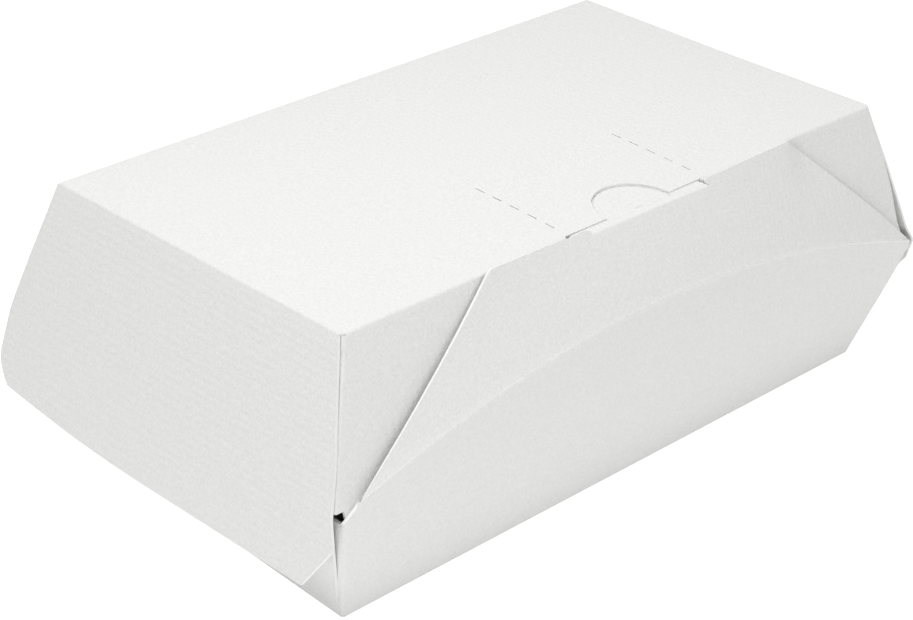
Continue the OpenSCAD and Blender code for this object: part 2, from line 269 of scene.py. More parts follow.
def lid_end_x(z, side):
    """Reach of the lid's end flap, outer face"""
    return top_len / 2 + (box_h - z) * tan(lid_end_lean) + max(side, 0) * end_flare * flare_share(z)


def base_end_in(z, side):
    return base_end_x(z, side) - level_board(base_end_lean)


def lid_end_in(z, side):
    return lid_end_x(z, side) - level_board(lid_end_lean)


def base_front_y(z):
    return base_wid / 2 + z * tan(base_front_lean)


def flap_z(drop):
    """Height on the lid's end flaps, from the distance down the slant"""
    return box_h - drop * cos(lid_end_lean)


def crown(x, y):
    """How far the lid's top bulges at a place"""
    return top_crown * (1 - (x / top_flat_x) ** 2) * (1 - (y / top_flat_y) ** 2)


def lift(y, z):
    """How far the back of the lid stands up, where the locked front pulls the top down"""
    return top_lift * (y + top_wid / 2) / top_wid * max(0, z - hinge_h) / (box_h - hinge_h)


def push(x, y, z):
    """How far the ends of the lid stand to the right, as in the photograph"""
    left = left_in * ramp(-x, *end_zone) * ramp(z, *left_zone)
    front_share = mix(1, ramp(-y, *front_zone), ramp(z, *top_zone))
    return left + edge_at(z, right_out) * ramp(x, *end_zone) * front_share


def dent(x, y, z):
    """How far the front fold is pressed back between the locking flap and the right-hand corner"""
    share = ramp(x, *dent_start) * ramp(-y, *dent_front) * ramp(z, *dent_height)
    return mix(fold_dent, corner_dent, ramp(x, *dent_fade)) * share


def setback(radius, turn):
    """Distance from a fold's sharp corner to where its arc starts"""
    return radius * tan(turn / 2)


def rounded(before, corner, after, radius):
    """Arc that touches both legs of a corner, for points of any dimension"""
    u = (before - corner).normalized()
    v = (after - corner).normalized()
    half = acos(max(-1, min(1, u.dot(v)))) / 2
    reach = radius / tan(half)
    middle = corner + (u + v).normalized() * radius / sin(half)
    start = corner + u * reach - middle
    end = corner + v * reach - middle
    turn = pi - 2 * half
    return [middle + (start * sin(turn * (1 - share)) + end * sin(turn * share)) / sin(turn)
            for share in even(fold_steps)]


def stations(corners, radii, spacing):
    """Places along a folded line: (distance, point), close together on the folds"""
    line = [corners[0]]
    for i, radius in enumerate(radii, start=1):
        line += rounded(corners[i - 1], corners[i], corners[i + 1], radius)
    line.append(corners[-1])
    found = [(0.0, line[0])]
    for a, b in zip(line, line[1:]):
        length = (b - a).length
        if length < 1e-6:
            continue
        parts = max(1, ceil(length / spacing))
        walked = found[-1][0]
        found += [(walked + length * k / parts, mix(a, b, k / parts)) for k in range(1, parts + 1)]
    return found


def at_height(found, z):
    """Distance and reach where a line of stations passes a height"""
    for (d1, p1), (d2, p2) in zip(found, found[1:]):
        if p1.y >= z >= p2.y and p1.y > p2.y:
            share = (p1.y - z) / (p1.y - p2.y)
            return mix(d1, d2, share), mix(p1.x, p2.x, share)
    return found[-1][0], found[-1][1].x


def panel(bm, columns, rows, place):
    """Grid of board: place(column, row) gives each point and its place on the flat blank"""
    blank = bm.verts.layers.float_vector["blank"]
    uv_layer = bm.loops.layers.uv["blank"]
    grid = bmesh.ops.create_grid(bm, x_segments=len(columns) - 1, y_segments=len(rows) - 1, size=0.5)
    for vert in grid["verts"]:
        column = columns[round((vert.co.x + 0.5) * (len(columns) - 1))]
        row = rows[round((vert.co.y + 0.5) * (len(rows) - 1))]
        vert.co, across, along_blank = place(column, row)
        vert[blank] = (across, along_blank, 0)
    faces = list(dict.fromkeys(face for vert in grid["verts"] for face in vert.link_faces))
    for face in faces:
        for loop in face.loops:
            loop[uv_layer].uv = loop.vert[blank].xy * MM
    return faces


def cut(bm, faces, point, normal):
    """Cut the faces along a plane, and give back the faces on both sides"""
    geometry = list(faces)
    geometry += dict.fromkeys(edge for face in faces for edge in face.edges)
    geometry += dict.fromkeys(vert for face in faces for vert in face.verts)
    result = bmesh.ops.bisect_plane(bm, geom=geometry, dist=1e-3, plane_co=point, plane_no=normal)
    return [item for item in result["geom"] if isinstance(item, bmesh.types.BMFace)]


def new_sheet():
    """Empty sheet of board with the layers that its pattern needs"""
    bm = bmesh.new()
    bm.verts.layers.float_vector.new("blank")
    bm.loops.layers.uv.new("blank")
    return bm


def face_outwards(bm):
    """Turn all faces the same way, with the lid's top facing up"""
    bmesh.ops.recalc_face_normals(bm, faces=bm.faces)
    top = max(bm.faces, key=lambda face: abs(face.normal.z) * face.calc_center_median().z)
    if top.normal.z < 0:
        bmesh.ops.reverse_faces(bm, faces=bm.faces)
    bm.normal_update()


def thicken(bm):
    """Give a sheet its thickness, on its inner side, and a cut edge with a material of its own"""
    blank = bm.verts.layers.float_vector["blank"]
    outward = bm.verts.layers.float_vector.new("outward")
    inner = bm.verts.layers.int.new("inner")
    uv_layer = bm.loops.layers.uv["blank"]
    for vert in bm.verts:
        vert[outward] = vert.normal
    for vert in bm.verts:
        x, y, z = vert.co
        vert.co += Vector((push(x, y, z), dent(x, y, z), lift(y, z)))
    skin = set(bm.faces)
    made = bmesh.ops.extrude_face_region(bm, geom=list(bm.faces))
    back = {item for item in made["geom"] if isinstance(item, bmesh.types.BMFace)}
    for vert in {vert for face in back for vert in face.verts}:
        vert.co -= Vector(vert[outward]) * board
        vert[inner] = 1
    for face in bm.faces:
        face.smooth = True
        if face in skin or face in back:
            continue
        face.material_index = 1
        for loop in face.loops:
            loop[uv_layer].uv = (loop.vert[blank][0] * MM, loop.vert[inner] * board * MM)
        for edge in face.edges:
            if any(other in skin or other in back for other in edge.link_faces):
                edge.smooth = False
    bmesh.ops.recalc_face_normals(bm, faces=bm.faces)
    for layers, name in ((bm.verts.layers.float_vector, "outward"),
                         (bm.verts.layers.float_vector, "blank"),
                         (bm.verts.layers.int, "inner")):
        layers.remove(layers[name])


def board_piece(bm, name, body, node):
    """Weld a sheet, give it its thickness, and make it a piece in metres"""
    bmesh.ops.remove_doubles(bm, verts=bm.verts, dist=0.004)
    face_outwards(bm)
    thicken(bm)
    bmesh.ops.scale(bm, vec=(MM, MM, MM), verts=bm.verts)
    mesh = bpy.data.meshes.new(name)
    bm.to_mesh(mesh)
    bm.free()
    piece = bpy.data.objects.new(name, mesh)
    bpy.context.collection.objects.link(piece)
    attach(piece, body)
    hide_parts(node)
    return piece


# Flat part of the lid's top, inside its folds
lid_end_turn = pi / 2 - lid_end_lean
top_flat_x = top_len / 2 - setback(fold_radius, lid_end_turn)
top_flat_y = top_wid / 2 - setback(fold_radius, pi / 2 - lid_front_lean)
square_setback = setback(tab_fold_radius, pi / 2)


# Curved crease, the locking flap above it and the front wall below it.
# s runs from -1 at the left to 1 at the right.

def crease_z(x):
    """Height of the curved crease"""
    return crease_top - crease_radius + sqrt(crease_radius ** 2 - x ** 2)


def along(left, right, s):
    return mix(left, right, (s + 1) / 2)


front_left = -base_end_in(corner_h, -1) + corner_inset
front_right = base_end_in(corner_h, 1) - right_inset
bottom_flat_x = base_len / 2 - setback(fold_radius, pi / 2 - base_end_lean)
lock_y = -top_wid / 2 - lock_stand
shoulder_z = box_h + shoulder_up


def front_low(s):
    return Vector((s * bottom_flat_x, -base_wid / 2, 0))


def front_crease(s):
    x = along(front_left + crease_in, front_right - board, s)
    return Vector((x, -crease_reach, crease_z(x)))


def front_wall_y(x, z):
    return -mix(base_wid / 2, crease_reach, z / crease_z(x))


def front_corner(s):
    """Place on the front wall at the height where its side folds end"""
    x = along(front_left + base_fold_radius, front_right - tab_fold_radius, s)
    z = corner_h - board - corner_cut
    return Vector((x, front_wall_y(x, z), z))


def front_top(s):
    return Vector((lock_shift + s * lock_len / 2, lock_y, shoulder_z))


def front_flap(s, t):
    """Point of the locking flap, t from 0 at the crease to 1 at the shoulders"""
    bow = 4 * t * (1 - t)
    forward = along(left_bow, right_bow, s) * (1 + s ** 2) / 2
    point = mix(front_crease(s), front_top(s), t)
    return point + Vector((along(left_edge_bow, right_edge_bow, s) * s ** 2 * bow, -forward * bow, 0))


def flap_share(s, z):
    """Share of the way up the locking flap at which it reaches a height"""
    low = front_crease(s).z
    return (z - low) / (shoulder_z - low)


def flap_column(x, z):
    """Column of the locking flap that passes a place"""
    left, right = -1, 1
    for _ in range(40):
        s = (left + right) / 2
        if front_flap(s, flap_share(s, z)).x < x:
            left = s
        else:
            right = s
    return (left + right) / 2


# Columns of the front wall, the flap and the strip: even ones, and close ones by the corners
neck_s = [flap_column(neck_left, neck_left_h), flap_column(neck_right, neck_right_h)]
corner_steps = [0, 0.12, 0.35, 0.7, 1.1, 1.6, 2.2]
left_steps = corner_steps + [3, 3.8, neck_left_round]
extra_s = [neck_s[0] - step / (lock_len / 2) for step in left_steps]
extra_s += [neck_s[1] + step / (lock_len / 2) for step in corner_steps]
extra_s += [-1 + step / (lock_len / 2) for step in corner_steps]
extra_s += [1 - step / (lock_len / 2) for step in corner_steps]
even_s = [reach - 1 for reach in even(64, 2)]
closest = 0.008
columns = sorted(extra_s + [s for s in even_s if min(abs(s - other) for other in extra_s) > closest])
neck_columns = [s for s in columns if neck_s[0] <= s <= neck_s[1]]
left_shoulder = [s for s in columns if s <= neck_s[0]]
right_shoulder = [s for s in columns if s >= neck_s[1]]


def neck_share(s):
    """Place across the neck from 0 at its left side to 1 at its right side"""
    return ramp(s, neck_s[0], neck_s[1] - neck_s[0])


def neck_height(s):
    """Height of the neck's front crease"""
    return mix(neck_left_h, neck_right_h, neck_share(s))


# Long strip of the blank: lid front, top, lid back, base back and bottom.
# A station's point holds the place across the box and the height.
lid_front_low = box_h - lid_front_drop * cos(lid_front_lean)
strip_corners = [
    Vector((-top_wid / 2 - lid_front_drop * sin(lid_front_lean), lid_front_low)),
    Vector((-top_wid / 2, box_h)),
    Vector((top_wid / 2, box_h)),
    Vector((hinge_reach, hinge_h)),
    Vector((base_wid / 2, 0)),
    Vector((0, 0)),
]
strip = stations(strip_corners, [fold_radius] * 4, 4)
fold_start_z = box_h - setback(fold_radius, pi / 2 - lid_front_lean) * cos(lid_front_lean)
first_fold = next(k for k, (walked, point) in enumerate(strip) if abs(point.y - fold_start_z) < 1e-3)
middle_walked = next(walked for walked, point in strip if point.y > box_h - 1e-6) + top_flat_y
bottom_walked = strip[-1][0] - middle_walked


def strip_reach(point, side):
    """Reach of the strip's panels at a station"""
    y, z = point
    if z > hinge_h or y < 0 and z > lid_front_end:
        share = ramp(box_h - z, 0, corner_ease)
        gap = seam_gap * min(1, (box_h - z) / seam_open)
        if side > 0 and y < 0:
            gap = edge_at(z, front_narrow)
        return mix(top_flat_x, lid_end_in(z, side) - gap - square_setback, share)
    if z > corner_h:
        share = (z - corner_h) / (hinge_h - corner_h)
        low, high = base_end_in(corner_h, side), lid_end_in(hinge_h, side) - layer_gap
        return mix(low, high, share) - square_setback
    return mix(bottom_flat_x, base_end_in(z, side) - square_setback, min(1, z / bottom_ease))


def skewed(x, y, z):
    """The base's left-hand end stands a little askew: its back corner is pushed in"""
    back_share = (y + base_wid / 2) / base_wid
    left_share = max(0, -x / (base_len / 2))
    low_share = ramp(hinge_h - z, 0, hinge_h - end_wall_h)
    return x + base_skew * max(0, back_share) * left_share * low_share


def strip_x(point, s):
    x = s * strip_reach(point, 1 if s > 0 else -1)
    if point.x >= 0 and point.y < hinge_h:
        return skewed(x, point.x, point.y)
    return x


def strip_place(s, station):
    walked, point = station
    x = strip_x(point, s)
    return Vector((x, point.x, point.y)), x, walked - middle_walked


def lid_front_place(s, t):
    """Lid front: t from 0 at its lower edge, arched between its flat ends, to 1 at the fold"""
    half = lid_end_in(corner_h, -1) - lid_front_flat
    arch_radius = (half ** 2 + lid_front_arch ** 2) / (2 * lid_front_arch)
    x = strip_x(strip[0][1], s)
    rise = lid_front_arch - arch_radius + sqrt(arch_radius ** 2 - min(abs(x), half) ** 2)
    from_end = lid_end_in(lid_front_low, -1) - abs(x)
    ear = lid_front_ear * ramp(from_end, *ear_start) * ramp(abs(x) - half, -ear_fade, ear_fade)
    fold_walked, fold_point = strip[first_fold]
    walked = mix((max(rise, 0) - ear) / cos(lid_front_lean), fold_walked, t)
    return strip_place(s, (walked, mix(strip[0][1], fold_point, walked / fold_walked)))


def bottom_place(s, t):
    """Bottom: t from 0 at the back to 1 where the front fold starts"""
    low = front_low(s)
    start = rounded(Vector((low.x, 0, 0)), low, front_corner(s), fold_radius)[0]
    y = mix(0, start.y, t)
    x = skewed(low.x, y, 0) if t < 1 else start.x
    return Vector((x, y, 0)), low.x, bottom_walked - y


# Rows of the front wall and the locking flap, from the bottom fold up
front_rows = [("fold", k) for k in range(fold_steps + 1)]
front_rows += [("wall", share) for share in (0.25, 0.5, 0.75, 1)]
front_rows += [("cheek", share) for share in (0.05, 0.2, 0.4, 0.6, 0.8, 0.9)]
front_rows += [("crease", step) for step in (-0.9, -0.6, -0.35, -0.15, 0, 0.15, 0.35, 0.6, 0.9)]
front_rows += [("flap", share) for share in (0.15, 0.3, 0.45, 0.6, 0.75, 0.88, 1)]


def front_place(s, row):
    """Front wall and locking flap up to the level of the neck"""
    kind, value = row
    low = front_low(s)
    corner = front_corner(s)
    crease = front_crease(s)
    flap_len = (front_top(s) - crease).length
    bend = rounded(Vector((low.x, 0, 0)), low, corner, fold_radius)
    if kind == "fold":
        point = bend[value]
    elif kind == "wall":
        point = mix(bend[-1], corner, value)
        point.y = mix(point.y, front_wall_y(point.x, point.z), value)
    elif kind == "cheek":
        point = mix(corner, crease, value)
        point.x -= cheek_out * (1 - value) ** 2 * max(0, -s - cheek_start) / (1 - cheek_start)
        point.y = front_wall_y(point.x, point.z)
    elif kind == "crease":
        if value < 0:
            point = mix(crease, corner, min(crease_share, -value / (crease - corner).length))
        else:
            point = front_flap(s, value / flap_len)
        point.y -= crease_bead * (1 + cos(pi * value / crease_bead_wid)) / 2
    else:
        neck_at = flap_share(s, neck_height(s))
        point = front_flap(s, mix(crease_bead_wid / flap_len, neck_at, value))
    return point, point.x, bottom_walked - low.y + point.z / cos(base_front_lean)


def arc_drop(distance, radius):
    """Share of a rounded corner's radius that is lost at a distance from its end"""
    return 1 - sqrt(1 - (1 - distance / radius) ** 2)


def shoulder_height(s):
    """Height of the cut shoulder above the neck's crease, rounded off at both ends"""
    left = s <= neck_s[0]
    inner_s, outer_s = (neck_s[0], -1) if left else (neck_s[1], 1)
    inner_round = neck_left_round if left else neck_right_round
    up = mix(shoulder_low, shoulder_up, (s - inner_s) / (outer_s - inner_s))
    full = box_h + up - neck_height(s)
    inner = abs(s - inner_s) * lock_len / 2
    outer = (1 - abs(s)) * lock_len / 2
    drop = 0
    if inner < inner_round:
        drop = full * shoulder_foot * arc_drop(inner, inner_round)
    if outer < shoulder_round:
        drop = shoulder_round * arc_drop(outer, shoulder_round)
    dip = shoulder_dip * max(0, 1 - abs(front_flap(s, 1).x - dip_middle) / dip_reach)
    return full - drop - dip


def shoulder_place(s, t):
    """Shoulder: t from 0 at the level of the neck's crease to 1 at its cut edge"""
    z = neck_height(s) + t * shoulder_height(s)
    point = front_flap(s, flap_share(s, z))
    return point, point.x, bottom_walked + base_wid / 2 + point.z / cos(base_front_lean)


# Neck and tongue: the neck climbs to the slot and dives under the lid's top
slot_y = tear_front - neck_gap
slot_h = box_h - neck_low
dive_y = 0.4
dive_middle = Vector((0, 0.04, tongue_z + 0.1 - slot_h))
dive_end = Vector((0, dive_y, tongue_z - slot_h))
wing_back = -top_wid / 2 + 4 * fold_radius
tongue_back = -top_wid / 2 + tongue_deep
tongue_left = tear_shift - tongue_wid / 2
tongue_right = tear_shift + tongue_wid / 2
tongue_rows = [("bend", k) for k in range(fold_steps + 1)]
tongue_rows += [("neck", share) for share in (0.33, 0.67, 1)]
tongue_rows += [("dive", dive) for dive in (dive_middle, dive_end)]
tongue_rows += [("wing", share) for share in (0.5, 1)]
tongue_rows += [("body", share) for share in (0.25, 0.5, 0.75, 1)]
tongue_rows += [("end", share) for share in (0.33, 0.67, 1)]

# The tongue widens from the slot, runs on straight and ends with cut corners: (left, right, y)
slot_span = (slot_neck_left, slot_neck_right, slot_y + dive_y)
wing_span = (tongue_left, tongue_right, wing_back)
body_span = (tongue_left, tongue_right, tongue_back - tongue_round)
end_span = (tongue_left + tongue_round, tongue_right - tongue_round, tongue_back)
tongue_spans = {
    "wing": (slot_span, wing_span),
    "body": (wing_span, body_span),
    "end": (body_span, end_span),
}


def tongue_place(s, row):
    """Neck and tongue, from the neck's crease to the tongue's end"""
    kind, value = row
    share = neck_share(s)
    edge = front_flap(s, flap_share(s, neck_height(s)))
    below = front_flap(s, flap_share(s, neck_height(s) - neck_foot))
    corner = edge + (edge - below).normalized() * neck_fold
    goal = Vector((mix(slot_neck_left, slot_neck_right, share), slot_y, slot_h))
    bend = rounded(below, corner, goal, neck_bend_radius)
    if kind == "bend":
        point = edge if value == 0 else bend[value]
    elif kind == "neck":
        point = mix(bend[-1], goal, value)
    elif kind == "dive":
        point = goal + value
    else:
        (left1, right1, y1), (left2, right2, y2) = tongue_spans[kind]
        x = mix(mix(left1, right1, share), mix(left2, right2, share), value)
        y = mix(y1, y2, value)
        point = Vector((x, y, tongue_z + max(0, crown(x, y)) * tongue_crown))
    return point, point.x, bottom_walked + base_wid / 2 + box_h + point.y


# Where the notch leaves the tongue bare, the board has swelled up into it
notch_radius = notch_wid / 2
notch_middle = Vector((tear_shift, tear_front + notch_deep - notch_radius))


def notch_pad_place(turn, ring):
    """Swelled board in the notch, as rings round the middle of its arc, with a skirt below"""
    radius = (notch_radius - pad_gap) * ring
    x = notch_middle.x - radius * cos(turn)
    y = notch_middle.y - pad_front + (radius + pad_front * min(1, ring)) * sin(turn)
    across = (x - slot_neck_left) / (slot_neck_right - slot_neck_left)
    neck_rise = (slot_h - neck_fold - mix(neck_left_h, neck_right_h, across)) / neck_reach
    low = mix(pad_low, pad_far_low, ramp(y, slot_y, notch_deep))
    z = min(box_h - low, slot_h + pad_up + (y - slot_y) * neck_rise) + max(0, crown(x, y))
    if ring > 1:
        z = tongue_z + pad_skirt
    return Vector((x, y, z)), x, bottom_walked + base_wid / 2 + box_h + y


# Lid's end flaps

def flap_section(side):
    """Section of an end flap in X and Z, from the middle of the top to its lower edge"""
    corners = [Vector((0, box_h)), Vector((top_len / 2, box_h))]
    if side < 0:
        low = flap_z(flap_drop)
        corners.append(Vector((lid_end_x(low, -1), low)))
        return stations(corners, [fold_radius], flap_spacing)
    tuck_len = flap_drop - (box_h - corner_h) / cos(lid_end_lean)
    tuck = radians(flap_tuck)
    waist = Vector((lid_end_x(corner_h, 1), corner_h))
    corners += [
        Vector((lid_end_x(flap_bend, 1), flap_bend)),
        waist,
        waist - tuck_len * Vector((sin(tuck), cos(tuck))),
    ]
    return stations(corners, [fold_radius, flap_bend_radius, flap_waist_radius], flap_spacing)


def flap_sides(side):
    """Front and back edges of an end flap, as corners from the top down"""
    cut_z = flap_z(flap_drop - flap_cut_drop)
    front_y = flap_edge_in - top_wid / 2
    waist_y = -top_wid / 2 - flap_front_out * (box_h - corner_h) / (box_h - cut_z)
    knee_y = mix(front_y, waist_y, (box_h - seam_knee) / (box_h - corner_h))
    cut_y = -top_wid / 2 - flap_front_out
    if side < 0:
        waist_y += flap_waist_less
    else:
        cut_y += flap_front_less
    heel_z = flap_z(flap_drop) + flap_rise + flap_heel_up
    front = [(front_y, box_h), (knee_y, seam_knee), (waist_y, corner_h), (cut_y, cut_z)]
    back = [(top_wid / 2, box_h), (hinge_reach, hinge_h), (hinge_reach + flap_heel_out, heel_z)]
    return front, back


def lid_end(bm, side, top_ys):
    """End flap with its fold, welded to the top along the fold"""
    section = flap_section(side)
    front, back = flap_sides(side)
    cut_y, cut_z = front[-1]
    first_y, last_y = top_ys[0], top_ys[-1]
    start = next(k for k, (walked, point) in enumerate(section)
                 if point.x > top_flat_x - 1e-3 or point.y < box_h - 1e-4)
    upper = [(section[start][0], Vector((top_flat_x, box_h)))]
    upper += [(walked, point) for walked, point in section[start:]
              if point.x > top_flat_x + fold_clear and point.y > cut_z + 1]
    lower = [0.0, 0.2, 0.4, 0.6, 0.8, 0.9, 0.96, 1.0]
    lowest = section[-1][1].y
    low_z = flap_z(flap_drop)
    low_back = Vector((hinge_reach - flap_heel_len, low_z + flap_rise))
    heel = Vector(back[-1])
    heel_start = Vector((edge_at(cut_z, back), cut_z))

    def place(y_top, row):
        """Rows are stations above the cut corner, and shares of its height from there down"""
        share = (y_top - first_y) / (last_y - first_y)
        if isinstance(row, float):
            edge_y = mix(cut_y + flap_cut_wid, low_back.x, share)
            edge_z = low_z + flap_rise * (max(edge_y, 0) / low_back.x) ** 2
            y_back = (heel_start * (1 - row) ** 2 + heel * 2 * row * (1 - row) + low_back * row ** 2).x
            y_front = mix(cut_y, cut_y + flap_cut_wid, row)
            z = max(mix(cut_z, edge_z, row), lowest)
            walked, x = at_height(section, z)
        else:
            walked, (x, z) = row
            ease = ramp(box_h - z, 0, flap_ease)
            y_front = mix(first_y, edge_at(z, front), ease)
            y_back = mix(last_y, edge_at(z, back), ease)
        y = mix(y_front, y_back, share)
        return Vector((side * x, y, z)), side * walked, y

    return panel(bm, top_ys, upper + lower, place)


# Base's end walls

def base_end(bm, side, bottom_ys):
    """End wall of the base with its fold, welded to the bottom"""
    corners = [
        Vector((0, 0)),
        Vector((base_len / 2, 0)),
        Vector((base_end_x(end_wall_h, side), end_wall_h)),
    ]
    section = stations(corners, [fold_radius], flap_spacing)
    rows = [(bottom_flat_x, Vector((bottom_flat_x, 0)))]
    rows += [(walked, point) for walked, point in section if point.x > bottom_flat_x + fold_clear]
    low, high = bottom_ys[0], bottom_ys[-1]

    def place(y_bottom, row):
        walked, (x, z) = row
        share = (y_bottom - low) / (high - low)
        ease = min(1, z / wall_ease)
        back_here = mix(end_wall_back_low, end_wall_back, z / end_wall_h) if side < 0 else board / 2
        y_front = mix(low, back_here - base_front_y(z), ease)
        y_back = mix(high, base_wid / 2 + z * tan(base_back_lean), ease)
        y = mix(y_front, y_back, share)
        out = right_wall_out * min(1, z / right_wall_rise) * (1 - share) if side > 0 else 0
        return Vector((skewed(side * x, y, z) + out, y, z)), side * walked, y_bottom

    return panel(bm, bottom_ys, rows, place)


# Glue tabs, folded back inside the ends from the side folds of the front and back panels

def lid_tab_x(z, side):
    return side * (lid_end_in(z, side) - layer_gap)


def base_back_tab_x(z, side):
    return side * base_end_in(z, side)


def base_front_tab_x(z, side):
    return side * (base_end_in(z, side) - front_tab_in)


def tab_fold(z, side):
    return tab_fold_radius


def base_front_fold(z, side):
    """The base's front-left fold is tight at its foot and rounder above"""
    if side > 0:
        return tab_fold_radius
    return mix(base_fold_foot, base_fold_radius, min(1, z / base_fold_rise))


def glue_tabs(bm, edge_points, inward_y, end_x, fold_at=tab_fold):
    """Tab along a side fold: edge_points run along the panel's side, end_x gives the tab's reach"""
    tab_columns = [("fold", k) for k in range(fold_steps + 1)] + [("tab", 0.5), ("tab", 1.0)]

    def place(column, point):
        kind, value = column
        side = 1 if point.x > 0 else -1
        radius = fold_at(point.z, side)
        corner = point + Vector((side * radius, 0, 0))
        end = Vector((end_x(point.z, side), point.y + inward_y * glue_tab, point.z))
        end.x = skewed(end.x, end.y, end.z)
        bend = rounded(point, corner, end, radius)
        if kind == "fold":
            tab_point = bend[value] if value else point
            walked = value / fold_steps * radius * pi / 2
        else:
            tab_point = mix(bend[-1], end, value)
            walked = radius * pi / 2 + value * glue_tab
        return tab_point, point.x + side * walked, point.z

    return panel(bm, tab_columns, edge_points, place)


def make_carton():
    """Carton: every panel of the folded blank, welded into one sheet"""
    bm = new_sheet()
    lid_front_rows = even(8)
    bottom_rows = even(10)
    shoulder_rows = [0, 0.35, 0.7, 1]
    front_faces = panel(bm, columns, lid_front_rows, lid_front_place)
    strip_faces = panel(bm, columns, strip[first_fold:], strip_place)
    panel(bm, columns, bottom_rows, bottom_place)
    panel(bm, columns, front_rows, front_place)
    panel(bm, left_shoulder, shoulder_rows, shoulder_place)
    panel(bm, right_shoulder, shoulder_rows, shoulder_place)
    panel(bm, neck_columns, tongue_rows, tongue_place)
    panel(bm, even(48, pi), pad_rings, notch_pad_place)
    top_ys = [point.x for walked, point in strip if point.y > box_h - 1e-4]
    for side in (-1, 1):
        lid_end(bm, side, top_ys)
        bottom_back = [point.x for walked, point in strip if point.y < 1e-4 and point.x > 0.01]
        bottom_front = [bottom_place(side, row)[0].y for row in bottom_rows]
        base_end(bm, side, sorted(bottom_back + bottom_front))
    cut_tear_opening(bm, front_faces + strip_faces)
    wall_rows = [row for row in front_rows if row[0] == "wall" or row == ("fold", fold_steps)]
    for side in (-1, 1):
        edge = [strip_place(side, station)[0] for station in strip[first_fold:]]
        back = [point for point in edge if point.y > 0]
        lid_front = [lid_front_place(side, row)[0] for row in lid_front_rows]
        lid_back = [point for point in back if hinge_h + tab_clear_hinge < point.z < box_h - tab_clear]
        base_back = [point for point in back if tab_clear < point.z < end_wall_h]
        base_front = [front_place(side, row)[0] for row in wall_rows]
        glue_tabs(bm, lid_front, 1, lid_tab_x)
        glue_tabs(bm, lid_back, -1, lid_tab_x)
        glue_tabs(bm, base_back, -1, base_back_tab_x)
        glue_tabs(bm, base_front, 1, base_front_tab_x, base_front_fold)
    return board_piece(bm, "carton_board", "carton", "carton")


# Tear flap, its opening and the slits of its perforations

def slit_ends():
    starts = [tear_front + slit_first + i * slit_pitch for i in range(slits)]
    return [start + step for start in starts for step in (0, slit_len)]


def in_slit(x, y):
    ends = slit_ends()
    near_line = min(abs(x - tear_left), abs(x - tear_right)) < slit_wid / 2
    return near_line and any(a < y < b for a, b in zip(ends[::2], ends[1::2]))


def cut_tear_opening(bm, faces):
    """Opening of the tear flap with its slits, and the slot at the fold that the neck passes"""
    near = [face for face in faces if face.is_valid and face.calc_center_median().y < 0
            and face.calc_center_median().z > box_h - opening_zone]
    slit_lines = (tear_left - slit_wid / 2, tear_right + slit_wid / 2)
    for x in (slot_left, slot_right, tear_left, tear_right, *slit_lines):
        near = cut(bm, near, (x, 0, 0), (1, 0, 0))
    for y in (tear_front, tear_back, *slit_ends()):
        near = cut(bm, near, (0, y, 0), (0, 1, 0))
    near = cut(bm, near, (0, 0, slot_low), (0, 0, 1))
    gone = []
    for face in near:
        middle = face.calc_center_median()
        in_flap = tear_left < middle.x < tear_right and tear_front < middle.y < tear_back
        in_slot = slot_left < middle.x < slot_right and middle.y < tear_front
        if (in_flap or in_slot) and middle.z > slot_low:
            gone.append(face)
        elif in_slit(middle.x, middle.y) and middle.z > box_h - slit_zone:
            gone.append(face)
    bmesh.ops.delete(bm, geom=gone, context="FACES")
    for vert in bm.verts:
        x, y, z = vert.co
        if abs(x) < top_flat_x and abs(y) < top_flat_y and z > box_h - 1e-4:
            vert.co.z = box_h + crown(x, y)


def make_tear_flap():
    """Tear flap: a plate round its half-round notch, hinged at the score at its back"""
    bm = new_sheet()
    centre_y = tear_front + (notch_deep - notch_radius)

    def notch_point(turn):
        return Vector((tear_shift - notch_radius * cos(turn), centre_y + notch_radius * sin(turn)))

    def rim_point(turn):
        """Place on the flap's outline, seen from the middle of the notch's arc"""
        ray = Vector((-cos(turn), sin(turn)))
        centre = Vector((tear_shift, centre_y))
        reach_x = (tear_wid / 2) / max(1e-9, abs(ray.x))
        reach_y = (tear_back - centre.y) / max(1e-9, ray.y)
        return centre + ray * min(reach_x, reach_y)

    to_corner = Vector((tear_left, tear_back)) - Vector((tear_shift, centre_y))
    corner_turn = acos(-to_corner.x / to_corner.length)
    corner_turns = [corner_turn, pi - corner_turn]
    turns = [turn for turn in even(40, pi) if min(abs(turn - other) for other in corner_turns) > 0.03]

    def place(turn, share):
        point = mix(notch_point(turn), rim_point(turn), share)
        return Vector((point.x, point.y, box_h)), point.x, point.y

    faces = panel(bm, sorted(turns + corner_turns), even(10), place)
    for y in slit_ends():
        faces = cut(bm, faces, (0, y, 0), (0, 1, 0))
    for x in (tear_left + slit_wid / 2, tear_right - slit_wid / 2):
        faces = cut(bm, faces, (x, 0, 0), (1, 0, 0))
    gone = [face for face in faces if in_slit(*face.calc_center_median().xy)]
    bmesh.ops.delete(bm, geom=gone, context="FACES")
    for vert in bm.verts:
        vert.co.z = box_h + crown(vert.co.x, vert.co.y)
    return board_piece(bm, "tear_flap_board", "tear_flap", "tear_flap")


# Materials

def linear(hex_colour):
    """sRGB hex colour as linear values"""
    parts = [int(hex_colour[i:i + 2], 16) / 255 for i in (1, 3, 5)]
    return [c / 12.92 if c <= 0.04045 else ((c + 0.055) / 1.055) ** 2.4 for c in parts] + [1]


def add_node(tree, kind, links=None, **settings):
    """One node with its settings; links are its inputs by name, values or other nodes' outputs"""
    node = tree.nodes.new(kind)
    for name, value in settings.items():
        setattr(node, name, value)
    for name, value in (links or {}).items():
        if isinstance(value, bpy.types.NodeSocket):
            tree.links.new(value, node.inputs[name])
        else:
            node.inputs[name].default_value = value
    return node


